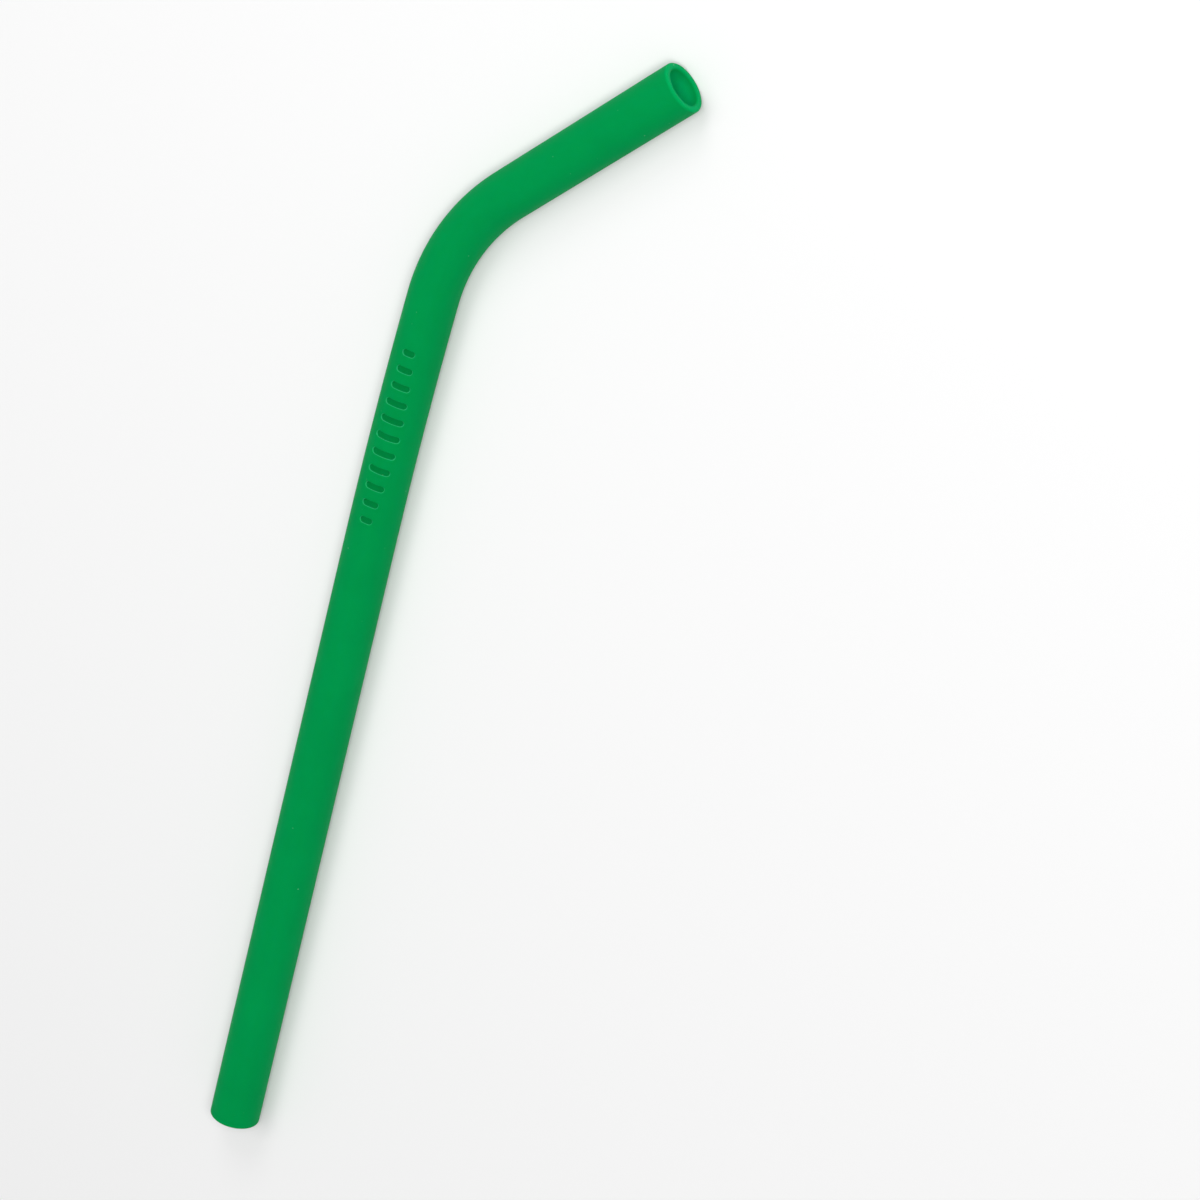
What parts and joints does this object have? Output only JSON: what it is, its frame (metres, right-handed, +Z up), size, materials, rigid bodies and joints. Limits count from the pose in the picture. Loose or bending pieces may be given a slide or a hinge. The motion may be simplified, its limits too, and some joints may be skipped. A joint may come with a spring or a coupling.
{
  "type": "drinking straw",
  "caption": "Bent drinking straw of soft green silicone: a round tube with a long leg, a smooth bend, a short leg, rounded lips and a tapered row of pressed grip bars.",
  "frame": {"origin": "on the floor, under the middle of the straw's bounding box", "axes": "+Y along the long leg, from its foot towards the bend; the short leg turns from +Y towards +X; +Z up, square to the plane of the bend"},
  "size_m": [0.048, 0.2448, 0.0104],
  "materials": {
    "silicone": "satin"
  },
  "bodies": {
    "root": {"straw": "silicone"}
  },
  "joints": []
}
